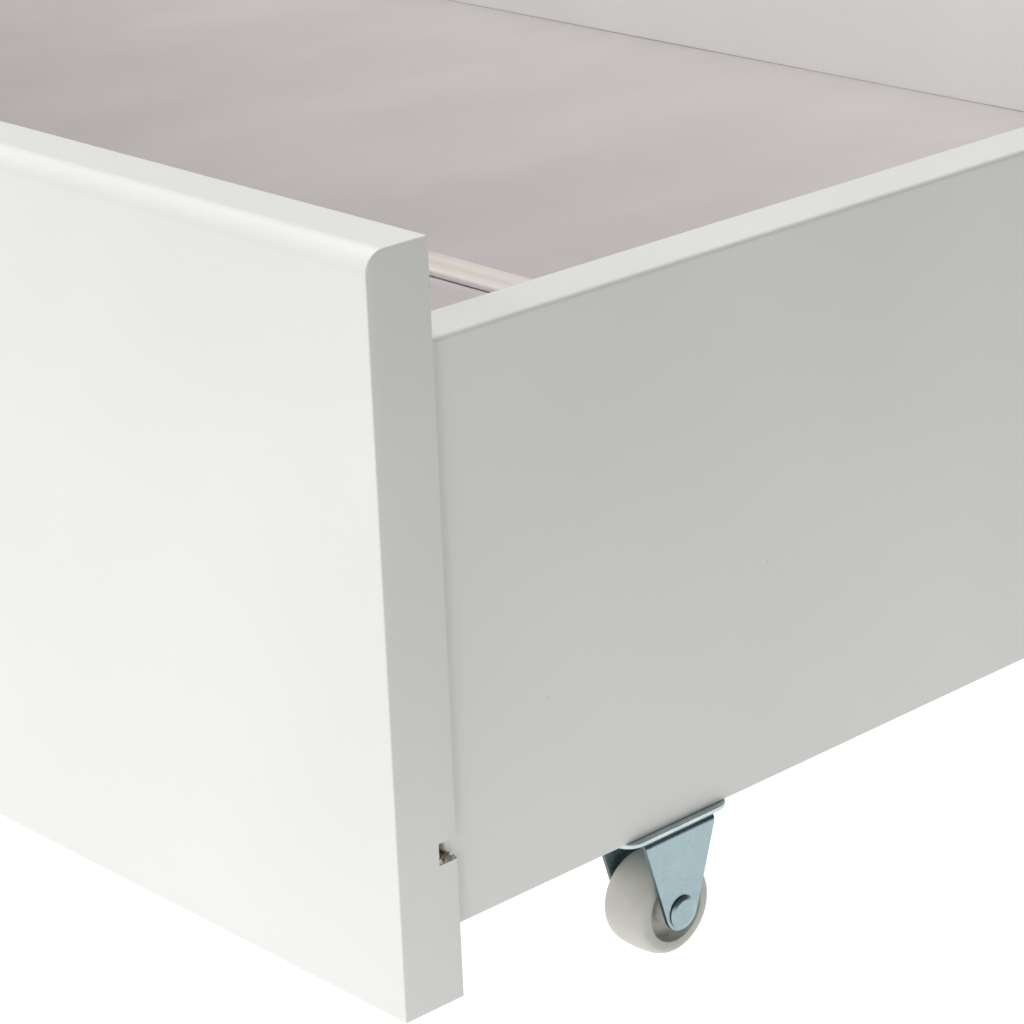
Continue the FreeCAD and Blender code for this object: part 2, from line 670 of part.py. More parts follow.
def make_dowels():
    """Beech dowels between the panels and the side panels' ends."""
    radius, chamfer, spare = value("Sizes.dowel_radius"), 0.8, 0.5
    low, high = spare - value("Sizes.dowel_in_panel"), value("Sizes.dowel_in_side") - spare
    profile = [
        (0, low),
        (radius - chamfer, low),
        (radius, low + chamfer),
        (radius, high - chamfer),
        (radius - chamfer, high),
        (0, high),
    ]
    made = []
    for side, face, inwards in corner_places():
        for height in ("dowel_low", "dowel_high"):
            dowel = turned(profile, (0, inwards, 0))
            made.append(at(dowel, f"{side}{SIDE_MIDDLE}", face, f"Sizes.{height}"))
    group("dowels", made)


def angle_places():
    """Signs of x and y for the four angle brackets at the bearer's ends."""
    for side in (1, -1):
        yield side, -1, FRONT_FACE
        yield side, 1, BACK_FACE


def make_angle_brackets():
    """Steel angles in the corners between the bearer and the front and back panels."""
    leg, thick, high = (value(f"Sizes.angle_{part}") for part in ("leg", "thick", "high"))
    hole, out = value("Sizes.screw_clear"), value("Sizes.angle_screw_out")
    made = []
    for side, end, face in angle_places():
        corners = [(0, 0), (leg, 0), (leg, thick), (thick, thick), (thick, leg), (0, leg)]
        wire = Part.makePolygon([FreeCAD.Vector(side * a, -end * b, 0) for a, b in corners + corners[:1]])
        shape = Part.Face(wire).extrude(FreeCAD.Vector(0, 0, high))
        bend = [
            edge
            for edge in shape.Edges
            if edge.BoundBox.ZLength > high / 2 and near(abs(edge.CenterOfMass.x), thick)
            and near(abs(edge.CenterOfMass.y), thick)
        ]
        shape = shape.makeFillet(thick * 0.6, bend)
        for base, direction in (
            (FreeCAD.Vector(side * out, 0, high / 2), FreeCAD.Vector(0, -end, 0)),
            (FreeCAD.Vector(0, -end * out, high / 2), FreeCAD.Vector(side, 0, 0)),
        ):
            shape = shape.cut(Part.makeCylinder(hole, 2 * thick, base - direction * thick / 2, direction))
        bracket = doc.addObject("Part::Feature", "Angle")
        bracket.Shape = shape
        low = f"Sizes.side_gap + {BEARER_HIGH} / 2 - Sizes.angle_high / 2"
        made.append(at(bracket, f"{side} * Sizes.bearer_wide / 2", face, low))
    group("angle_brackets", made)


def make_angle_screws():
    """Two screws through each angle bracket, one into the panel and one into the bearer."""
    long = value("Sizes.angle_screw_long + Sizes.angle_thick")
    head = value("Sizes.angle_screw_head")
    height = f"Sizes.side_gap + {BEARER_HIGH} / 2"
    made = []
    for side, end, face in angle_places():
        edge = f"{side} * (Sizes.bearer_wide / 2 + Sizes.angle_thick)"
        into_panel = screw(long, head, (0, end, 0))
        across = f"{side} * (Sizes.bearer_wide / 2 + Sizes.angle_screw_out)"
        made.append(at(into_panel, across, f"{face} - {end} * Sizes.angle_thick", height))
        into_bearer = screw(long, head, (-side, 0, 0))
        made.append(at(into_bearer, edge, f"{face} - {end} * Sizes.angle_screw_out", height))
    group("angle_screws", made)


# ---- checks and files --------------------------------------------------------------------------------


def check_and_write():
    """Stops on any failed object or bad shape, then writes one STEP file per sub-part."""
    doc.recompute()
    for item in doc.Objects:
        if {"Invalid", "Error"} & set(item.State):
            raise RuntimeError(f"{item.Label} failed: {item.State}")
    os.makedirs("parts", exist_ok=True)
    for item in parts:
        if item.Shape.isNull() or not item.Shape.isValid() or not item.Shape.Solids:
            raise RuntimeError(f"{item.Label} has a bad shape")
        item.Shape.exportStep(f"parts/{item.Label}.step")
    print(f"{len(parts)} sub-parts, {sum(len(item.Shape.Solids) for item in parts)} solids")


fill_sheet()
make_front_panel()
make_back_panel()
make_side_panel("side_panel_right", "")
make_side_panel("side_panel_left", "-")
make_bottom_board("bottom_board_front", -1)
make_bottom_board("bottom_board_rear", 1)
make_joint_strip()
make_bearer()
make_casters()
make_caster_screws()
make_cams()
make_cam_bolts()
make_dowels()
make_angle_brackets()
make_angle_screws()
check_and_write()
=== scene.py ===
"""Looks of the rolling under-bed frame: a white painted box on fixed casters, built round its CAD frame.

Sizes are millimetres unless a docstring says metres; mm() turns points into metres as they enter a mesh.
"""

import math

import bmesh
import bpy
import numpy as np
from mathutils import Matrix, Vector


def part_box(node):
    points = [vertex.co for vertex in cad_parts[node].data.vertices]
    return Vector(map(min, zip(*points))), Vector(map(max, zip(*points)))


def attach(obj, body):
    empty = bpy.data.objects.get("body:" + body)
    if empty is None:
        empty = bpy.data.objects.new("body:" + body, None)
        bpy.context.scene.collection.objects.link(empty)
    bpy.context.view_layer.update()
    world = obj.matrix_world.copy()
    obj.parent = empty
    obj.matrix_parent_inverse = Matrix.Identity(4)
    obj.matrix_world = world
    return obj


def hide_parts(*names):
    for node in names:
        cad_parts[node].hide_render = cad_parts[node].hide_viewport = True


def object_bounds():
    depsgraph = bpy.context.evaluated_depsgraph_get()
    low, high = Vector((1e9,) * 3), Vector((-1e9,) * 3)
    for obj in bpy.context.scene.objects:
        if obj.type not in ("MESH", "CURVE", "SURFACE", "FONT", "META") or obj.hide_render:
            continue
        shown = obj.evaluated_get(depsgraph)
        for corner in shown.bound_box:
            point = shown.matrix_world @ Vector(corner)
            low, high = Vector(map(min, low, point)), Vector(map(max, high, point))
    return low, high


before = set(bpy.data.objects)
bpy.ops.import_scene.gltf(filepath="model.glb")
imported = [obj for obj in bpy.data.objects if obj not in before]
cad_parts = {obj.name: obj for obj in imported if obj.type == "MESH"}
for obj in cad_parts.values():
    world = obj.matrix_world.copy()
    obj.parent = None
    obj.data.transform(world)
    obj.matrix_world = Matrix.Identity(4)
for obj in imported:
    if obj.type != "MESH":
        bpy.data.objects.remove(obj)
cad_low, cad_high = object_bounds()
PLACES = [f"{end}_{side}" for end in ("front", "rear") for side in ("right", "centre", "left")]
MM = 0.001


def mm(points):
    """Millimetres to metres."""
    return np.asarray(points, float) * MM


def node_box(node):
    """A CAD node's lowest and highest corners in millimetres."""
    low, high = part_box(node)
    return np.array(low) * 1000, np.array(high) * 1000


# ---- camera, floor and light -------------------------------------------------------------------------

LENS, SENSOR = 118.2, 36.0
AZIMUTH, ELEVATION, ROLL = 47.61, 20.82, -2.28
EYE = (1639.4, -948.3, 505.3)


def make_camera():
    """A long lens at knee height, out beyond the front right corner, tipped a little to one side."""
    azimuth, elevation, roll = (math.radians(angle) for angle in (AZIMUTH, ELEVATION, ROLL))
    back = Vector((math.sin(azimuth) * math.cos(elevation), -math.cos(azimuth) * math.cos(elevation),
                   math.sin(elevation)))
    level = (-back).cross(Vector((0, 0, 1))).normalized()
    upright = level.cross(-back)
    right = math.cos(roll) * level + math.sin(roll) * upright
    up = -math.sin(roll) * level + math.cos(roll) * upright
    data = bpy.data.cameras.new("camera")
    data.lens, data.sensor_width = LENS, SENSOR
    data.clip_start, data.clip_end = 0.05, 50
    camera = bpy.data.objects.new("camera", data)
    turn = Matrix((right, up, back)).transposed().to_4x4()
    camera.matrix_world = Matrix.Translation(Vector(mm(EYE))) @ turn
    bpy.context.scene.collection.objects.link(camera)
    bpy.context.scene.camera = camera


def make_floor(material):
    """Large pale floor under the casters, sized in metres."""
    half = 8.0
    corners = [(-half, -half, 0), (half, -half, 0), (half, half, 0), (-half, half, 0)]
    mesh = bpy.data.meshes.new("floor")
    mesh.from_pydata(corners, [], [(0, 1, 2, 3)])
    mesh.materials.append(material)
    floor = bpy.data.objects.new("floor", mesh)
    bpy.context.scene.collection.objects.link(floor)


def soft_light(name, at, towards, size, watts, tint):
    """A square soft box; size and places are in metres."""
    data = bpy.data.lights.new(name, "AREA")
    data.color = tint
    data.shape, data.size, data.energy = "SQUARE", size, watts
    light = bpy.data.objects.new(name, data)
    light.location = at
    light.rotation_mode = "QUATERNION"
    light.rotation_quaternion = (Vector(towards) - Vector(at)).to_track_quat("-Z", "Y")
    bpy.context.scene.collection.objects.link(light)


def make_light():
    """A dim white room and soft boxes: a wide one ahead of the front panel, a weaker one to its right, one
    overhead and a small low one above the near corner."""
    world = bpy.data.worlds.new("dim_white_room")
    bpy.context.scene.world = world
    world.use_nodes = True
    background = world.node_tree.nodes["Background"]
    background.inputs["Color"].default_value = (1.0, 1.0, 1.0, 1)
    background.inputs["Strength"].default_value = 0.08
    soft_light("front_box", (-0.6, -3.6, 1.7), (0.6, 0, 0.2), 2.4, 60, (0.98, 0.98, 1.0))
    soft_light("right_box", (2.6, -3.2, 0.9), (1.0, -0.2, 0.15), 1.0, 19, (1.0, 1.0, 0.97))
    soft_light("top_box", (-0.3, -0.2, 3.2), (0.1, 0, 0.1), 2.6, 67, (1.0, 1.0, 0.99))
    soft_light("corner_box", (0.92, -0.2, 1.15), (0.9, -0.2, 0.1), 0.6, 3.3, (1.0, 1.0, 1.0))
    bpy.context.scene.view_settings.view_transform = "Standard"


# ---- materials ---------------------------------------------------------------------------------------


def colour(hexadecimal):
    """An sRGB hex colour as linear RGBA."""
    channels = [int(hexadecimal[start:start + 2], 16) / 255 for start in (0, 2, 4)]
    return [c / 12.92 if c <= 0.04045 else ((c + 0.055) / 1.055) ** 2.4 for c in channels] + [1.0]


def new_material(name):
    """A Principled material with its node tree and shader."""
    material = bpy.data.materials.new(name)
    material.use_nodes = True
    return material, material.node_tree, material.node_tree.nodes["Principled BSDF"]


def pitch(size_mm):
    """Scale of a pattern whose blotches or cells are size_mm across, on coordinates in metres."""
    return 1000 / size_mm


def add(tree, kind, settings=None, stops=(), output=None, **links):
    """Adds a node and gives back one of its outputs, the first unless named. settings are its properties,
    stops a ramp's (place, hex colour) pairs, and links its inputs by name, or by place as i0 and i1, each a
    value or another node's output."""
    node = tree.nodes.new(kind)
    for name, setting in (settings or {}).items():
        setattr(node, name, setting)
    for number, (position, shade) in enumerate(stops):
        elements = node.color_ramp.elements
        element = elements[number] if number < 2 else elements.new(position)
        element.position, element.color = position, colour(shade)
    for name, source in links.items():
        place = int(name[1:]) if name[0] == "i" and name[1:].isdigit() else name
        socket = node.inputs[place]
        if isinstance(source, bpy.types.NodeSocket):
            tree.links.new(source, socket)
        else:
            socket.default_value = source
    if output:
        return node.outputs[output]
    return next(socket for socket in node.outputs if socket.enabled)


def dress(tree, shader, **links):
    """Connects outputs to the shader's inputs; an underscore stands for a space."""
    for name, source in links.items():
        tree.links.new(source, shader.inputs[name.replace("_", " ")])


COORDINATES, MAPPING, RAMP = "ShaderNodeTexCoord", "ShaderNodeMapping", "ShaderNodeValToRGB"
NOISE, CELLS, RANGE = "ShaderNodeTexNoise", "ShaderNodeTexVoronoi", "ShaderNodeMapRange"
BUMP, MIX, VECTOR = "ShaderNodeBump", "ShaderNodeMix", "ShaderNodeVectorMath"


def satin_white_paint():
    """Sprayed satin lacquer on fibreboard: a white just off neutral, faint orange peel, rare dust specks."""
    material, tree, shader = new_material("satin_white_paint")
    place = add(tree, COORDINATES, output="Object")
    cloud = add(tree, NOISE, Vector=place, Scale=pitch(111.11), Detail=2.0)
    shade = add(tree, RAMP, Fac=cloud, stops=[(0.3, "E4E4E1"), (0.7, "E8E8E5")])
    cell, speck, halo = 16.66667, 0.2, 0.36667
    dust = add(tree, CELLS, Vector=place, Scale=pitch(cell))
    clean = add(tree, RANGE, Value=dust, i1=speck / cell, i2=halo / cell, i3=0.0, i4=1.0)
    mixed = add(tree, MIX, {"data_type": "RGBA"}, i0=clean, i6=colour("C6C7C2"), i7=shade)
    peel = add(tree, NOISE, Vector=place, Scale=pitch(2.38095), Detail=2.0)
    relief = add(tree, BUMP, Height=peel, Strength=1.0, Distance=0.012 * MM)
    dress(tree, shader, Base_Color=mixed, Normal=relief)
    shader.inputs["Roughness"].default_value = 0.42
    shader.inputs["IOR"].default_value = 1.48
    return material


def milled_fibreboard():
    """Medium-density fibreboard where a cutter went through: tan, fuzzy, dark torn fibres and paint mist."""
    material, tree, shader = new_material("milled_fibreboard")
    place = add(tree, COORDINATES, output="Object")
    fibres = add(tree, NOISE, Vector=place, Scale=pitch(1.33333), Detail=5.0, Roughness=0.75)
    stops = [(0.30, "4A3A30"), (0.37, "93816F"), (0.44, "C6C0B3"), (0.62, "E0DED6")]
    shade = add(tree, RAMP, Fac=fibres, stops=stops)
    relief = add(tree, BUMP, Height=fibres, Strength=1.0, Distance=0.1 * MM)
    dress(tree, shader, Base_Color=shade, Normal=relief)
    shader.inputs["Roughness"].default_value = 0.95
    return material


def lacquered_hardboard():
    """Thin hardboard with a rolled grey-pink lacquer: semi-gloss, slightly wavy, faint cloudy patches."""
    material, tree, shader = new_material("lacquered_hardboard")
    place = add(tree, COORDINATES, output="Object")
    drawn = add(tree, MAPPING, Vector=place, Scale=(0.7, 0.25, 1.0))
    cloud = add(tree, NOISE, Vector=drawn, Scale=pitch(58.824), Detail=3.0, Roughness=0.45)
    shade = add(tree, RAMP, Fac=cloud, stops=[(0.32, "C4BDBF"), (0.5, "C8C0C2"), (0.68, "CCC5C7")])
    rolled = add(tree, MAPPING, Vector=place, Scale=(1.0, 0.2, 1.0))
    roller = add(tree, NOISE, Vector=rolled, Scale=pitch(3.0303), Detail=2.0)
    relief = add(tree, BUMP, Height=roller, Strength=1.0, Distance=0.012 * MM)
    patches = add(tree, NOISE, Vector=place, Scale=pitch(45.455), Detail=2.0)
    gloss = add(tree, RANGE, Value=patches, i1=0.3, i2=0.7, i3=0.28, i4=0.38)
    dress(tree, shader, Base_Color=shade, Normal=relief, Roughness=gloss)
    shader.inputs["IOR"].default_value = 1.5
    return material


def planed_pine(name, along):
    """Planed softwood without finish: pale cream with darker late-wood lines along the piece, matt."""
    material, tree, shader = new_material(name)
    place = add(tree, COORDINATES, output="Object")
    stretch = (0.03, 1.0, 1.0) if along == "x" else (1.0, 0.03, 1.0)
    drawn = add(tree, MAPPING, Vector=place, Scale=stretch)
    rings = add(tree, NOISE, Vector=drawn, Scale=pitch(5.0), Detail=4.0, Roughness=0.6, Distortion=0.4)
    stops = [(0.36, "E4DDD9"), (0.5, "E2DAD5"), (0.6, "DACEC4"), (0.66, "E3DCD7")]
    shade = add(tree, RAMP, Fac=rings, stops=stops)
    pores = add(tree, NOISE, Vector=drawn, Scale=pitch(0.8), Detail=2.0)
    relief = add(tree, BUMP, Height=pores, Strength=1.0, Distance=0.06 * MM)
    dress(tree, shader, Base_Color=shade, Normal=relief)
    shader.inputs["Roughness"].default_value = 0.68
    return material


def blue_zinc_plate(name, pale, dark, rough):
    """Electroplated zinc with a blue passivate on pressed steel: cool, softly mirror-like, faint clouds."""
    material, tree, shader = new_material(name)
    place = add(tree, COORDINATES, output="Object")
    cloud = add(tree, NOISE, Vector=place, Scale=pitch(7.1429), Detail=5.0, Roughness=0.65)
    shade = add(tree, RAMP, Fac=cloud, stops=[(0.3, dark), (0.7, pale)])
    gloss = add(tree, RANGE, Value=cloud, i1=0.3, i2=0.7, i3=rough - 0.04, i4=rough + 0.04)
    skin = add(tree, NOISE, Vector=place, Scale=pitch(0.8), Detail=3.0)
    relief = add(tree, BUMP, Height=skin, Strength=1.0, Distance=0.01 * MM)
    dress(tree, shader, Base_Color=shade, Normal=relief, Roughness=gloss)
    shader.inputs["Metallic"].default_value = 1.0
    return material


def tumbled_zinc_casting():
    """Tumbled zinc casting: grey metal with a grainy skin."""
    material, tree, shader = new_material("tumbled_zinc_casting")
    place = add(tree, COORDINATES, output="Object")
    grain = add(tree, NOISE, Vector=place, Scale=pitch(0.60606), Detail=3.0)
    shade = add(tree, RAMP, Fac=grain, stops=[(0.3, "96968F"), (0.7, "B4B4AE")])
    relief = add(tree, BUMP, Height=grain, Strength=1.0, Distance=0.03 * MM)
    dress(tree, shader, Base_Color=shade, Normal=relief)
    shader.inputs["Metallic"].default_value = 1.0
    shader.inputs["Roughness"].default_value = 0.42
    return material


def moulded_polyamide():
    """Injection-moulded polyamide: light warm grey, milky, with a fine matt skin and faint flow clouds."""
    material, tree, shader = new_material("moulded_polyamide")
    place = add(tree, COORDINATES, output="Object")
    cloud = add(tree, NOISE, Vector=place, Scale=pitch(8.0), Detail=2.0)
    shade = add(tree, RAMP, Fac=cloud, stops=[(0.3, "C3C3BA"), (0.7, "CBCBC3")])
    skin = add(tree, NOISE, Vector=place, Scale=pitch(0.60606), Detail=2.0)
    relief = add(tree, BUMP, Height=skin, Strength=1.0, Distance=0.01 * MM)
    dress(tree, shader, Base_Color=shade, Normal=relief)
    shader.inputs["Roughness"].default_value = 0.48
    shader.inputs["IOR"].default_value = 1.53
    return material


def turned_beech():
    """Turned beech: pink-brown, short dark flecks along the dowel."""
    material, tree, shader = new_material("turned_beech")
    place = add(tree, COORDINATES, output="Object")
    drawn = add(tree, MAPPING, Vector=place, Scale=(1.0, 0.15, 1.0))
    flecks = add(tree, NOISE, Vector=drawn, Scale=pitch(0.8), Detail=3.0)
    shade = add(tree, RAMP, Fac=flecks, stops=[(0.35, "B08A60"), (0.5, "C9A57A"), (0.7, "D3B38A")])
    relief = add(tree, BUMP, Height=flecks, Strength=1.0, Distance=0.05 * MM)
    dress(tree, shader, Base_Color=shade, Normal=relief)
    shader.inputs["Roughness"].default_value = 0.6
    return material


def lit_paper_floor(half_x, half_y):
    """Matt white paper lit from below. The glow is full under the object and within 0.35 m of it, and fades
    out to 1.1 m: distance is the length of max(|place| - half, 0) along x and y, in metres."""
    material, tree, shader = new_material("lit_paper_floor")
    place = add(tree, COORDINATES, output="Object")
    size = add(tree, VECTOR, {"operation": "ABSOLUTE"}, i0=place)
    beyond = add(tree, VECTOR, {"operation": "SUBTRACT"}, i0=size, i1=(half_x, half_y, 0.0))
    outside = add(tree, VECTOR, {"operation": "MAXIMUM"}, i0=beyond, i1=(0.0, 0.0, 0.0))
    distance = add(tree, VECTOR, {"operation": "LENGTH"}, i0=outside)
    glow = add(tree, RANGE, Value=distance, i1=0.35, i2=1.1, i3=0.95, i4=0.25)
    grain = add(tree, NOISE, Vector=place, Scale=pitch(4.0), Detail=2.0)
    shade = add(tree, RAMP, Fac=grain, stops=[(0.3, "9A9A9A"), (0.7, "9E9E9E")])
    dress(tree, shader, Base_Color=shade, Emission_Strength=glow)
    shader.inputs["Emission Color"].default_value = (1.0, 1.0, 1.0, 1.0)
    shader.inputs["Roughness"].default_value = 0.9
    return material


# ---- surfaces ----------------------------------------------------------------------------------------


def piece(name, points, faces, materials, body, nodes, tags=None, sharp=40):
    """Makes a closed mesh piece from points in mm, gives it to a CAD body and lets it stand for CAD nodes.
    tags is each face's material number, and an edge that turns by more than sharp degrees stays crisp."""
    mesh = bpy.data.meshes.new(name)
    mesh.from_pydata(mm(points).tolist(), [], faces)
    for material in materials:
        mesh.materials.append(material)
    if tags is not None:
        mesh.polygons.foreach_set("material_index", np.asarray(tags, np.int32))
    mesh.polygons.foreach_set("use_smooth", np.ones(len(mesh.polygons), bool))
    work = bmesh.new()
    work.from_mesh(mesh)
    bmesh.ops.recalc_face_normals(work, faces=work.faces)
    work.to_mesh(mesh)
    work.free()
    mesh.set_sharp_from_angle(angle=math.radians(sharp))
    made = bpy.data.objects.new(name, mesh)
    bpy.context.scene.collection.objects.link(made)
    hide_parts(*nodes)
    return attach(made, body)


def bands(rings, count, closed_path=False):
    """Quads between neighbouring rings of count points each, as whole arrays."""
    ring = np.arange(rings if closed_path else rings - 1)[:, None]
    here = np.arange(count)[None, :]
    after, above = (here + 1) % count, (ring + 1) % rings
    start, end = ring * count, above * count
    return np.stack([start + here, start + after, end + after, end + here], -1).reshape(-1, 4).tolist()


def rounded_outline(corners, radii, steps=6, hold=0.3):
    """Closed outline: each corner is an arc tangent to both its sides, swept evenly from one side to the
    other, with one more point hold further along each side to keep the flats flat. Also gives each point's
    corner."""
    corners = np.asarray(corners, float)
    radii = np.broadcast_to(np.asarray(radii, float), len(corners))[:, None]
    hold = np.broadcast_to(np.asarray(hold, float), len(corners))[:, None]
    before, after = np.roll(corners, 1, 0) - corners, np.roll(corners, -1, 0) - corners
    before /= np.linalg.norm(before, axis=1, keepdims=True)
    after /= np.linalg.norm(after, axis=1, keepdims=True)
    half = np.arccos(np.clip((before * after).sum(1, keepdims=True), -1, 1)) / 2
    middle = before + after
    middle /= np.linalg.norm(middle, axis=1, keepdims=True)
    centre = corners + middle * radii / np.sin(half)
    reach = radii / np.tan(half)
    first, last = corners + before * reach - centre, corners + after * reach - centre
    share = np.linspace(0, 1, steps + 1)[None, :, None]
    sweep = (np.pi - 2 * half)[:, :, None]
    arc = np.sin((1 - share) * sweep) * first[:, None] + np.sin(share * sweep) * last[:, None]
    arc = arc / np.sin(sweep) + centre[:, None]
    lead, tail = corners + before * (reach + hold), corners + after * (reach + hold)
    loops = np.concatenate([lead[:, None], arc, tail[:, None]], 1)
    return loops.reshape(-1, 2), np.repeat(np.arange(len(corners)), steps + 3)


def inset(outline, distance):
    """The outline moved inwards by distance: each point goes along the mitre of its two edges."""
    ahead = np.roll(outline, -1, 0) - outline
    ahead /= np.linalg.norm(ahead, axis=1, keepdims=True)
    normal = np.stack([-ahead[:, 1], ahead[:, 0]], 1)
    total = normal + np.roll(normal, 1, 0)
    mitre = total / np.maximum((total * normal).sum(1, keepdims=True), 0.2)
    turn = np.roll(outline, -1, 0)
    area = (outline[:, 0] * turn[:, 1] - turn[:, 0] * outline[:, 1]).sum()
    return outline + mitre * np.reshape(distance, (-1, 1)) * np.sign(area)


def carried(outline, low, high, end_round, steps=4, hold=0.3, share=1.0):
    """The outline carried in a straight line from low to high: a stack of rings, where the last few shrink
    along a quarter circle so that both ends have rounded edges. share is each point's part of the shrinking.
    Points are (along, across, up)."""
    angle = np.linspace(0, np.pi / 2, steps + 1)
    shrink = np.concatenate([[0], end_round * (1 - np.cos(angle))])
    depth = np.concatenate([[end_round + hold], end_round * (1 - np.sin(angle))])
    rings = [inset(outline, s * share * np.ones(len(outline))) for s in shrink]
    top = [np.column_stack([np.full(len(ring), high - d), ring]) for ring, d in zip(rings, depth)]
    bottom = [np.column_stack([np.full(len(ring), low + d), ring]) for ring, d in zip(rings, depth)]
    return np.concatenate(bottom[::-1] + top), 2 * len(rings)


def bar(name, outline, low, high, end_round, materials, order, body, nodes, tags=None, share=1.0):
    """A straight piece: its outline carried from low to high and closed with flat ends. order says which of
    (along, across, up) goes to x, y and z, and tags is each outline point's material number."""
    points, rings = carried(outline, low, high, end_round, share=share)
    count = len(outline)
    faces = bands(rings, count)
    caps = [list(range(count)), list(range((rings - 1) * count, rings * count))]
    marks = np.zeros(count, int) if tags is None else tags
    numbers = np.tile(marks, rings - 1).tolist() + [0, 0]
    return piece(name, points[:, order], faces + caps, materials, body, nodes, numbers)


ALONG_X, ALONG_Y, ALONG_Z = (0, 1, 2), (1, 0, 2), (1, 2, 0)


def shell(top, bottom):
    """A closed body between two grids of points with the same rows and columns: both grids and the band of
    quads round their edges."""
    rows, columns = top.shape[:2]
    index = np.arange(rows * columns).reshape(rows, columns)
    quads = np.stack([index[:-1, :-1], index[1:, :-1], index[1:, 1:], index[:-1, 1:]], -1).reshape(-1, 4)
    edge = np.concatenate([index[0, :-1], index[:-1, -1], index[-1, :0:-1], index[:0:-1, 0]])
    after, below = np.roll(edge, -1), rows * columns
    rim = np.stack([edge, after, after + below, edge + below], -1)
    points = np.concatenate([top.reshape(-1, 3), bottom.reshape(-1, 3)])
    return points, np.concatenate([quads, quads[:, ::-1] + below, rim]).tolist()


def turned(profile, count, form=1.0):
    """Rings of a profile of (along, radius) turned round the first axis; form multiplies the radius of the
    rings and may differ from point to point. Points are (along, across, up)."""
    profile = np.asarray(profile, float)
    angle = np.linspace(0, 2 * np.pi, count, endpoint=False)
    radius = profile[:, 1:] * np.broadcast_to(form, (len(profile), count))
    along = np.repeat(profile[:, :1], count, 1)
    return np.stack([along, radius * np.cos(angle), radius * np.sin(angle)], -1).reshape(-1, 3)


def capped(rings, count):
    """Faces of a turned body whose two ends are flat."""
    return bands(rings, count) + [list(range(count)), list(range((rings - 1) * count, rings * count))]


def soften(thing, width_mm, segments=2, angle=35):
    """Rounds the crisp edges of a piece with a live bevel."""
    edge = thing.modifiers.new("edge", "BEVEL")
    edge.width, edge.segments = width_mm * MM, segments
    edge.limit_method, edge.angle_limit = "ANGLE", math.radians(angle)
    return thing


def drill(thing, points, faces):
    """Cuts a closed body out of a piece, for good."""
    mesh = bpy.data.meshes.new("cutter")
    mesh.from_pydata(mm(points).tolist(), [], faces)
    work = bmesh.new()
    work.from_mesh(mesh)
    bmesh.ops.recalc_face_normals(work, faces=work.faces)
    work.to_mesh(mesh)
    work.free()
    cutter = bpy.data.objects.new("cutter", mesh)
    bpy.context.scene.collection.objects.link(cutter)
    cut = thing.modifiers.new("cut", "BOOLEAN")
    cut.operation, cut.solver, cut.object = "DIFFERENCE", "EXACT", cutter
    bpy.context.view_layer.update()
    ready = thing.evaluated_get(bpy.context.evaluated_depsgraph_get())
    result = bpy.data.meshes.new_from_object(ready)
    result.name = thing.data.name
    thing.modifiers.remove(cut)
    thing.data = result
    bpy.data.objects.remove(cutter)
    return thing


def waves(across, along, lengths, seed):
    """Sum of plane waves of the given lengths in seeded directions, between about -1 and 1."""
    draw = np.random.default_rng(seed)
    total = np.zeros(np.broadcast(across, along).shape)
    for length in lengths:
        turn, phase = draw.uniform(0, 2 * np.pi, 2)
        total += np.sin(2 * np.pi / length * (across * np.cos(turn) + along * np.sin(turn)) + phase)
    return total / math.sqrt(len(lengths))


# ---- panels and boards -------------------------------------------------------------------------------

GROOVE_DEEP = 7.0
GROOVE_LOW = node_box("bottom_board_front")[0][2]
GROOVE_CORNERS = (4, 5, 6, 7)


def panel(node, inner, outer, edges, groove, low, high, end_round, order, paint, fibre):
    """A panel with the boards' groove in its inner face: painted outside, bare fibreboard in the groove.
    edges is the radius of the inner bottom, outer bottom, outer top and inner top edges, and groove is its
    height and the radius of its edges."""
    groove_high, groove_round = groove
    bottom, top = (corner[2] for corner in node_box(node))
    groove_end = inner + math.copysign(GROOVE_DEEP, outer - inner)
    groove_top = GROOVE_LOW + groove_high
    corners = [
        (inner, bottom), (outer, bottom), (outer, top), (inner, top),
        (inner, groove_top), (groove_end, groove_top), (groove_end, GROOVE_LOW), (inner, GROOVE_LOW),
    ]
    radii = [*edges] + [groove_round] * 4
    outline, owner = rounded_outline(corners, radii, steps=7, hold=[0.3] * 4 + [1.5, 0.3, 0.3, 1.5])
    in_groove = np.isin(owner, GROOVE_CORNERS)
    mouth = in_groove & (~np.roll(in_groove, 1) | ~np.roll(in_groove, -1))
    bare = in_groove & np.roll(in_groove, -1) & ~mouth
    share = np.where(in_groove & ~mouth, 0.0, 1.0)
    return bar(f"{node}_painted", outline, low, high, end_round, [paint, fibre], order, "box", [node],
               bare.astype(int), share)


def make_panels(paint, fibre):
    """The front panel's groove is open at both ends; those of the back and sides close on the boards."""
    open_groove, snug_groove = (7.0, 0.2), (6.08, 0.08)
    low, high = node_box("front_panel")
    panel("front_panel", high[1], low[1], (0.5, 0.6, 6.5, 0.6), open_groove, low[0], high[0], 0.45, ALONG_X,
          paint, fibre)
    low, high = node_box("back_panel")
    panel("back_panel", low[1], high[1], (0.4, 0.4, 2.0, 0.6), snug_groove, low[0], high[0], 0.35, ALONG_X,
          paint, fibre)
    for side in ("right", "left"):
        low, high = node_box(f"side_panel_{side}")
        inner, outer = (low[0], high[0]) if side == "right" else (high[0], low[0])
        made = panel(f"side_panel_{side}", inner, outer, (0.3, 0.3, 1.6, 0.5), snug_groove, low[1], high[1],
                     0.15, ALONG_Y, paint, fibre)
        cut_cam_holes(made, inner, outer)


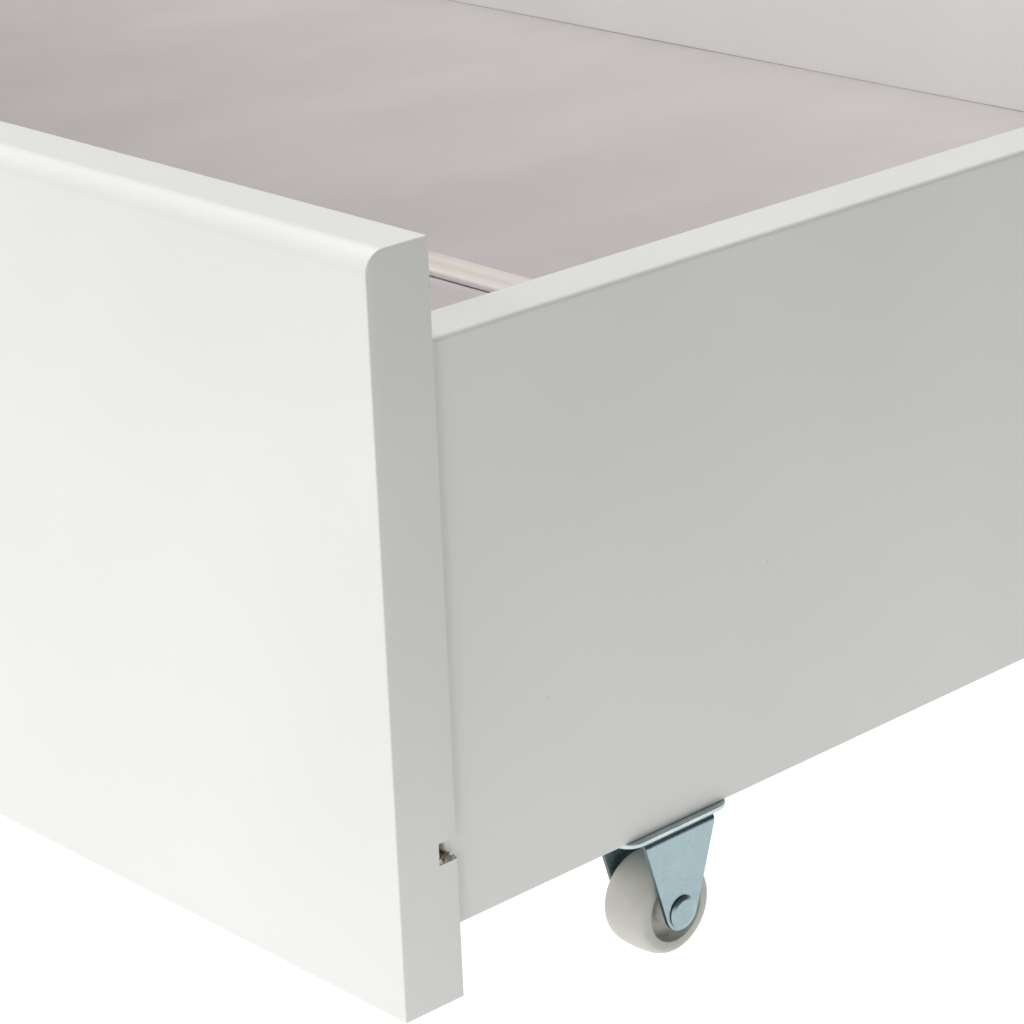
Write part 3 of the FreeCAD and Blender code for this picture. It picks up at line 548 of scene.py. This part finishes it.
def make_groove_fuzz(fibre):
    """Torn fibres that the cutter left where the front panel's groove runs out at both ends: a ragged bed
    whose height is a sum of short waves, higher towards the groove's back wall."""
    low, high = node_box("front_panel")
    reach, deep, floor = 13.0, GROOVE_DEEP - 0.2, GROOVE_LOW
    for side, end in (("right", high[0]), ("left", low[0])):
        inwards = -math.copysign(1, end)
        along = end + inwards * np.linspace(0.35, reach, 60)[:, None]
        across = high[1] - np.linspace(0.1, deep, 32)[None, :]
        rough = waves(along, across, [1.1, 1.4, 1.9, 2.3, 3.1, 4.2], 11)
        wall = (high[1] - across) / GROOVE_DEEP
        rise = 0.35 + 0.3 * rough + 1.6 * np.clip(wall - 0.55, 0, 1) * (1.2 + rough)
        top = np.stack(np.broadcast_arrays(along, across, floor + np.maximum(rise, 0.05)), -1)
        bottom = np.stack(np.broadcast_arrays(along, across, floor - 0.3), -1)
        points, faces = shell(top, bottom)
        piece(f"groove_fuzz_{side}", points, faces, [fibre], "box", ["front_panel"], sharp=70)


def make_groove_plugs(paint):
    """Paint that pooled in the ends of the front panel's groove, level with the side panels' outer faces:
    its free edge wanders with height by a sum of short waves."""
    inner = node_box("front_panel")[1][1]
    up = np.linspace(0.9, 6.95, 24)[:, None]
    share = np.linspace(0, 1, 12)[None, :]
    reach = 2.4 + 0.45 * waves(up, 0 * up, [1.3, 2.1, 3.7], 8) - 0.9 * np.clip(1 - up / 3, 0, 1)
    across = inner - reach * share
    for side in ("right", "left"):
        low, high = node_box(f"side_panel_{side}")
        face, inwards = (high[0], -1) if side == "right" else (low[0], 1)
        skin, back = face + inwards * (0.05 + 1.2 * share**6), face + inwards * 3.0
        grids = [np.stack(np.broadcast_arrays(x, across, GROOVE_LOW + up), -1) for x in (skin, back)]
        points, faces = shell(*grids)
        piece(f"groove_plug_{side}", points, faces, [paint], "box", ["front_panel"], sharp=70)


def make_board(end, lacquer):
    """Half of the bottom: a thin slab whose faces rise and fall by about a twentieth of a millimetre."""
    low, high = node_box(f"bottom_board_{end}")
    along = np.linspace(low[0], high[0], 150)[:, None]
    across = np.linspace(low[1], high[1], 34)[None, :]
    sway = 0.05 * waves(along, across, [410, 330, 260, 190, 150], 5 if end == "front" else 6)
    levels = (high[2] - 0.1, low[2] + 0.1)
    sides = [np.stack(np.broadcast_arrays(along, across, level + sway), -1) for level in levels]
    points, faces = shell(*sides)
    made = piece(f"bottom_board_{end}_lacquered", points, faces, [lacquer], "box", [f"bottom_board_{end}"])
    return soften(made, 0.4)


def make_joint_strip(pine):
    """H-shaped rail between the boards, with eased edges along its top."""
    low, high = node_box("joint_strip")
    half, web = (high[1] - low[1]) / 2, 4.0
    groove_low, groove_high, end = GROOVE_LOW, GROOVE_LOW + 6.4, node_box("side_panel_right")[0][0] - 0.1
    right = [(half, low[2]), (half, groove_low), (web, groove_low), (web, groove_high), (half, groove_high),
             (half, high[2])]
    corners = right + [(-across, up) for across, up in reversed(right)]
    radii = [0.6, 0.3, 0.2, 0.2, 0.5, 1.6]
    outline, _ = rounded_outline(corners, radii + radii[::-1], steps=5)
    bar("joint_strip_planed", outline, -end, end, 0.12, [pine], ALONG_X, "box", ["joint_strip"])


def make_bearer(pine):
    """Batten under the boards, from front to back, with a notch for the joint strip."""
    low, high = node_box("centre_bearer")
    strip_low, strip_high = node_box("joint_strip")
    left, right, floor = strip_low[1] - 0.3, strip_high[1] + 0.3, strip_low[2]
    corners = [(low[1], low[2]), (high[1], low[2]), (high[1], high[2]), (right, high[2]), (right, floor),
               (left, floor), (left, high[2]), (low[1], high[2])]
    outline, _ = rounded_outline(corners, 0.6, steps=4)
    bar("centre_bearer_planed", outline, low[0], high[0], 0.4, [pine], ALONG_X, "box", ["centre_bearer"])


# ---- casters -----------------------------------------------------------------------------------------

STEEL, FORK_BEND = 1.3, 3.1


def half_leg(height, low):
    """A leg's half width at a height: a straight taper that widens upwards, closed below by an arc tangent to
    it and drawn in, along a parabola, by up to 0.6 mm round the shoulder."""
    foot, top, shoulder, tip_round = 5.1, 15.75, 34.8, 6.6
    slope = (top - foot) / shoulder
    lean = math.hypot(slope, 1)
    middle = foot - tip_round * (lean - slope)
    above = height - low
    taper = foot + slope * np.minimum(above, shoulder)
    arc = middle + np.sqrt(np.maximum(tip_round**2 - (tip_round - above)**2, 0))
    drawn_in = 0.6 * np.clip((above - shoulder + 1.5) / 1.8, 0, 1)**2
    return np.where(above < tip_round * (1 - slope / lean), arc, taper) - drawn_in


def make_fork(place, zinc, sheared):
    """One sheet bent into two legs: its middle line runs up one leg, round a bend, across and down the other,
    its width follows the legs' outline, and both faces lie half the sheet's thickness from it."""
    low, high = node_box(f"caster_fork_{place}")
    middle = (low + high) / 2
    half = (high[0] - low[0]) / 2 - STEEL / 2
    bend = FORK_BEND - STEEL / 2
    top = high[2] - STEEL / 2
    tip = 6.6 * (1 - np.cos(np.linspace(0, np.pi / 2, 12)))
    heights = np.concatenate([low[2] + tip, np.linspace(low[2] + 8, top - bend - 0.1, 22)])
    angle = np.linspace(0, np.pi / 2, 9)
    across = np.concatenate([np.full(len(heights), half), half - bend + bend * np.cos(angle)])
    up = np.concatenate([heights, top - bend + bend * np.sin(angle)])
    out = np.concatenate([np.ones(len(heights)), np.cos(angle)])
    rise = np.concatenate([np.zeros(len(heights)), np.sin(angle)])
    across, out = np.concatenate([across, -across[::-1]]), np.concatenate([out, -out[::-1]])
    up, rise = np.concatenate([up, up[::-1]]), np.concatenate([rise, rise[::-1]])
    width = half_leg(up, low[2])[:, None] * np.array([-1, -0.96, -0.5, 0, 0.5, 0.96, 1])
    faces_of_sheet = []
    for side in (STEEL / 2, -STEEL / 2):
        x = (middle[0] + across + side * out)[:, None]
        z = (up + side * rise)[:, None]
        faces_of_sheet.append(np.stack(np.broadcast_arrays(x, middle[1] + width, z), -1))
    points, faces = shell(*faces_of_sheet)
    rows, columns = width.shape
    on_an_edge = np.arange(len(faces)) >= 2 * (rows - 1) * (columns - 1)
    made = piece(f"fork_{place}", points, faces, [zinc, sheared], "box", [f"caster_fork_{place}"],
                 on_an_edge.astype(int), sharp=50)
    soften(made, 0.15, segments=2, angle=50)


def make_plate(place, zinc):
    """Stamped plate with round corners and softly rolled edges, in a lighter copy of the fork's zinc whose
    extra lightness is painted reflection.
    """
    low, high = node_box(f"caster_plate_{place}")
    corners = [(low[0], low[1]), (high[0], low[1]), (high[0], high[1]), (low[0], high[1])]
    outline, _ = rounded_outline(corners, 6.0, steps=10)
    bar(f"plate_{place}", outline, low[2], high[2], 0.2, [zinc], ALONG_Z, "box", [f"caster_plate_{place}"])


def make_axle(place, zinc):
    """Rivet through both legs: slightly domed heads with a bevelled rim and a fine gap behind them."""
    low, high = node_box(f"caster_axle_{place}")
    middle, end, head = (low + high) / 2, (high[0] - low[0]) / 2, (high[2] - low[2]) / 2
    dome = [(end, 0.8), (end - 0.03, 2.6), (end - 0.09, 3.9), (end - 0.2, 4.3), (end - 0.55, 4.95)]
    rim = [(end - 0.8, head), (end - 1.05, head), (end - 1.18, head - 0.25), (end - 1.3, head - 0.6)]
    half = dome + rim + [(end - 1.3, 3.0)]
    profile = half + [(-along, radius) for along, radius in reversed(half)]
    count = 48
    points = turned(profile, count) + middle
    piece(f"rivet_{place}", points, capped(len(profile), count), [zinc], "box", [f"caster_axle_{place}"],
          sharp=38)


def wheel_profile(half, radius):
    """Closed (along, radius) profile of the wheel: tread and side are one superellipse from the crown to the
    edge of the dish, then the dish, the hub and the bore, and the same again mirrored."""
    dish, deep, hub, hub_half, bore = 11.2, 4.5, 5.6, 9.9, 3.08
    turn = np.linspace(0, np.pi / 2, 20)
    rim = np.column_stack([half * np.cos(turn)**0.8, dish + (radius - dish) * np.sin(turn)**(2 / 4.8)])
    web = half - deep
    lip = [(half - 0.06, dish - 0.22), (half - 0.3, dish - 0.36), (half - 1.0, dish - 0.42)]
    dish_side = [(web + 0.7, dish - 0.6), (web + 0.2, dish - 0.85), (web, dish - 1.4)]
    hub_foot = [(web, hub + 1.3), (web + 0.2, hub + 0.75), (web + 0.7, hub + 0.5)]
    hub_end = [(hub_half - 0.3, hub), (hub_half, hub - 0.3), (hub_half, bore + 0.3), (hub_half - 0.3, bore)]
    side = lip + dish_side + hub_foot + hub_end
    right = np.concatenate([rim[::-1], side])
    left = right[:0:-1] * (-1, 1)
    return np.concatenate([right, left])


def make_wheel(place, nylon):
    """Moulded wheel with a crowned tread, dished sides and a hub."""
    low, high = node_box(f"caster_wheel_{place}")
    middle, radius = (low + high) / 2, (high[2] - low[2]) / 2
    profile = wheel_profile(8.8, radius)
    count = 96
    points = turned(profile, count) + middle
    piece(f"wheel_{place}", points, bands(len(profile), count, closed_path=True), [nylon], f"wheel_{place}",
          [f"caster_wheel_{place}"], sharp=38)


# ---- fasteners ---------------------------------------------------------------------------------------


def cross(count, arm, slot):
    """Distance from the middle to the edge of a cross with arms of that reach and half width, all round."""
    angle = np.linspace(0, 2 * np.pi, count, endpoint=False)
    cos, sin = np.abs(np.cos(angle)) + 1e-6, np.abs(np.sin(angle)) + 1e-6
    level, upright = np.minimum(arm / cos, slot / sin), np.minimum(slot / cos, arm / sin)
    return np.maximum(level, upright)


def with_cross(profile, arm, slot, deep, count=64):
    """A turned body whose first face has a cross-shaped recess: the first ring is the recess's floor and the
    second its edge, then come the profile's rings."""
    rings = np.concatenate([[(profile[0][0] + deep, 1), (profile[0][0] + 0.05, 1)], profile])
    star = cross(count, arm, slot)
    form = np.concatenate([[star * 0.6, star], np.ones((len(profile), count))])
    return turned(rings, count, form), capped(len(rings), count)


def screw_body(head, thick, long):
    """Pan-head screw along the first axis: its head stands behind 0, its shank reaches to long."""
    shank = 1.5
    pan = [(-thick, 0.62 * head), (-0.88 * thick, 0.82 * head), (-0.6 * thick, 0.96 * head)]
    profile = pan + [(-0.3 * thick, head), (0, head), (0, shank), (long - 3, shank), (long, 0.3)]
    return with_cross(profile, 0.5 * head, 0.13 * head, 0.7 * thick)


def gather(name, body_of_one, frames, material, node):
    """The same body set down at each frame, a pair of a 3 x 3 turn and a place, as one piece."""
    points, faces = body_of_one
    turns = np.array([turn for turn, _ in frames], float)
    places = np.array([place for _, place in frames], float)
    all_points = np.einsum("fij,pj->fpi", turns, points) + places[:, None]
    starts = range(0, len(frames) * len(points), len(points))
    all_faces = [[corner + start for corner in face] for start in starts for face in faces]
    piece(name, all_points.reshape(-1, 3), all_faces, [material], "box", [node], sharp=35)


def axes(along):
    """A right-handed turn that lays a body's first axis along a direction."""
    along = np.asarray(along, float)
    other = np.array([0, 1, 0]) if abs(along[2]) > 0.5 else np.array([0, 0, 1])
    return np.column_stack([along, np.cross(other, along), other])


def make_caster_screws(zinc):
    """Two pan-head screws through each plate, up into the wood."""
    frames = []
    for place in PLACES:
        low, high = node_box(f"caster_plate_{place}")
        middle = (low + high) / 2
        frames += [(axes((0, 0, 1)), (middle[0], middle[1] + out, low[2])) for out in (-19.4, 19.4)]
    gather("caster_screws_zinc", screw_body(3.2, 2.0, 15.4), frames, zinc, "caster_screws")


def bracket_places():
    """Each angle bracket's corner, with the directions away from it along x and along y."""
    low, high = node_box("centre_bearer")
    for x, way_x in ((high[0], 1), (low[0], -1)):
        for y, way_y in ((low[1], 1), (high[1], -1)):
            yield x, y, way_x, way_y


def make_brackets(zinc):
    """Angle brackets: an L with a rounded bend, carried upwards, and a screw through each leg."""
    low, high = node_box("angle_brackets")
    leg, steel = 25.0, 2.0
    sheets, screws = [], []
    middle = (low[2] + high[2]) / 2
    for x, y, way_x, way_y in bracket_places():
        angle = [(0, 0), (leg, 0), (leg, steel), (steel, steel), (steel, leg), (0, leg)]
        corners = np.array(angle) * (way_x, way_y) + (x, y)
        outline, _ = rounded_outline(corners, [1.8, 0.5, 0.5, 1.2, 0.5, 0.5], steps=5)
        points, rings = carried(outline, low[2], high[2], 0.25)
        sheets.append((points[:, ALONG_Z], rings, len(outline)))
        screws.append((axes((0, -way_y, 0)), (x + way_x * 16, y + way_y * steel, middle)))
        screws.append((axes((-way_x, 0, 0)), (x + way_x * steel, y + way_y * 16, middle)))
    faces = []
    for number, (points, rings, count) in enumerate(sheets):
        start = number * len(points)
        faces += [[corner + start for corner in face] for face in capped(rings, count)]
    piece("angle_brackets_zinc", np.concatenate([sheet[0] for sheet in sheets]), faces, [zinc], "box",
          ["angle_brackets"])
    gather("angle_screws_zinc", screw_body(3.0, 2.0, 14.0), screws, zinc, "angle_screws")


CAM_RADIUS, CAM_DEEP, CAM_FROM_END, CAM_HEIGHTS = 7.5, 14.0, 34.0, (105.0, 195.0)


def cam_frames(inner, outer):
    """Turn and place of the four cams of a side panel, looking in from its inner face."""
    low, high = node_box("side_panel_right")
    way = math.copysign(1, outer - inner)
    return [(axes((way, 0, 0)), (inner, y, height))
            for y in (low[1] + CAM_FROM_END, high[1] - CAM_FROM_END) for height in CAM_HEIGHTS]


def cut_cam_holes(side_panel, inner, outer):
    """Round holes in a side panel's inner face, a little larger than the cams."""
    profile, count = [(-1, CAM_RADIUS), (CAM_DEEP, CAM_RADIUS)], 64
    for turn, place in cam_frames(inner, outer):
        points = turned(profile, count) @ turn.T + np.asarray(place)
        drill(side_panel, points, capped(2, count))


def make_cams(casting):
    """Cast cams just below the side panels' inner faces, each with a cross slot."""
    radius, sunk = CAM_RADIUS - 0.15, 0.25
    edge = [(sunk, radius - 0.8), (sunk + 0.1, radius - 0.3), (sunk + 0.4, radius)]
    profile = edge + [(CAM_DEEP - 0.5, radius)]
    frames = []
    for side in ("right", "left"):
        low, high = node_box(f"side_panel_{side}")
        frames += cam_frames(*((low[0], high[0]) if side == "right" else (high[0], low[0])))
    gather("cam_discs_cast", with_cross(profile, 4.5, 0.8, 2.5), frames, casting, "cam_discs")


# ---- the whole ---------------------------------------------------------------------------------------


def make_scene():
    """Camera, lights and floor, then every piece; dowels and cam bolts keep their CAD meshes."""
    make_camera()
    make_light()
    make_floor(lit_paper_floor(cad_high[0], cad_high[1]))
    paint, fibre = satin_white_paint(), milled_fibreboard()
    zinc = blue_zinc_plate("blue_zinc_plate", "A3B7BB", "98ACB1", 0.28)
    sheared = blue_zinc_plate("sheared_zinc_edge", "6E8186", "5F7277", 0.42)
    # The plates' zinc is the forks' zinc made lighter and glossier: painted reflection of bright surroundings
    # on the plates' tops and edges.
    plate_zinc_with_painted_reflection = blue_zinc_plate("zinc_plate_lightened_as_painted_reflection", "CDD8DA", "B6C6CA", 0.2)
    casting, nylon = tumbled_zinc_casting(), moulded_polyamide()
    make_panels(paint, fibre)
    make_groove_fuzz(fibre)
    make_groove_plugs(paint)
    lacquer = lacquered_hardboard()
    make_board("front", lacquer)
    make_board("rear", lacquer)
    make_joint_strip(planed_pine("planed_pine_lengthways", "x"))
    make_bearer(planed_pine("planed_pine_crossways", "y"))
    for place in PLACES:
        make_plate(place, plate_zinc_with_painted_reflection)
        make_fork(place, zinc, sheared)
        make_axle(place, zinc)
        make_wheel(place, nylon)
    make_caster_screws(zinc)
    make_brackets(zinc)
    make_cams(casting)
    for node, finish in (("dowels", turned_beech()), ("cam_bolts", zinc)):
        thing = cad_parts[node]
        thing.data.materials.clear()
        thing.data.materials.append(finish)


make_scene()
